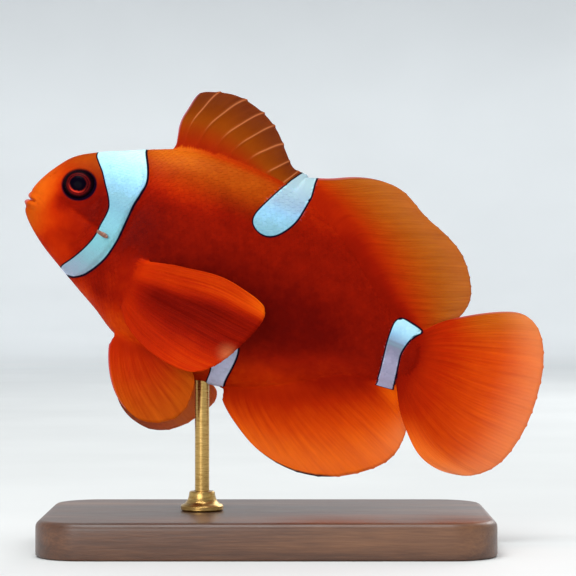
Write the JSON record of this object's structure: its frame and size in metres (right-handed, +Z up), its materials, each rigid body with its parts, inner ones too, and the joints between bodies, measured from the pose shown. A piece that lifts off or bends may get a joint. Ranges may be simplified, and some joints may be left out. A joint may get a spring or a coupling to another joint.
{
  "type": "clownfish model on display stand",
  "caption": "Life-size still model of a young maroon clownfish swimming nose-up, with thin fins, white bars and cheek spines, held by a brass rod on a flat wooden base.",
  "frame": {"origin": "centre of the stand base's underside", "axes": "+X from the fish's head towards its tail, +Y towards the fish's right side, +Z up"},
  "size_m": [0.0654, 0.034, 0.0573],
  "materials": {
    "skin": "wet, softly glossy scaled skin, orange on the snout and back, maroon on the flank, with white bars",
    "fin": "thin, slightly glossy rayed membrane",
    "eye": "clear and wet, dark iris with a thin orange ring",
    "spine": "smooth bone",
    "walnut": "satin",
    "brass": "satin"
  },
  "bodies": {
    "root": {"head": "skin", "lower_jaw": "skin", "gill_cover_left": "skin", "gill_cover_right": "skin", "trunk": "skin", "tail_stem": "skin", "dorsal_fin_spiny": "fin", "dorsal_fin_soft": "fin", "anal_fin": "fin", "caudal_fin": "fin", "pectoral_fin_left": "fin", "pectoral_fin_right": "fin", "pelvic_fin_left": "fin", "pelvic_fin_right": "fin", "eye_left": "eye", "eye_right": "eye", "cheek_spine_left": "spine", "cheek_spine_right": "spine", "stand_base": "walnut", "stand_collar": "brass", "stand_rod": "brass"}
  },
  "joints": []
}
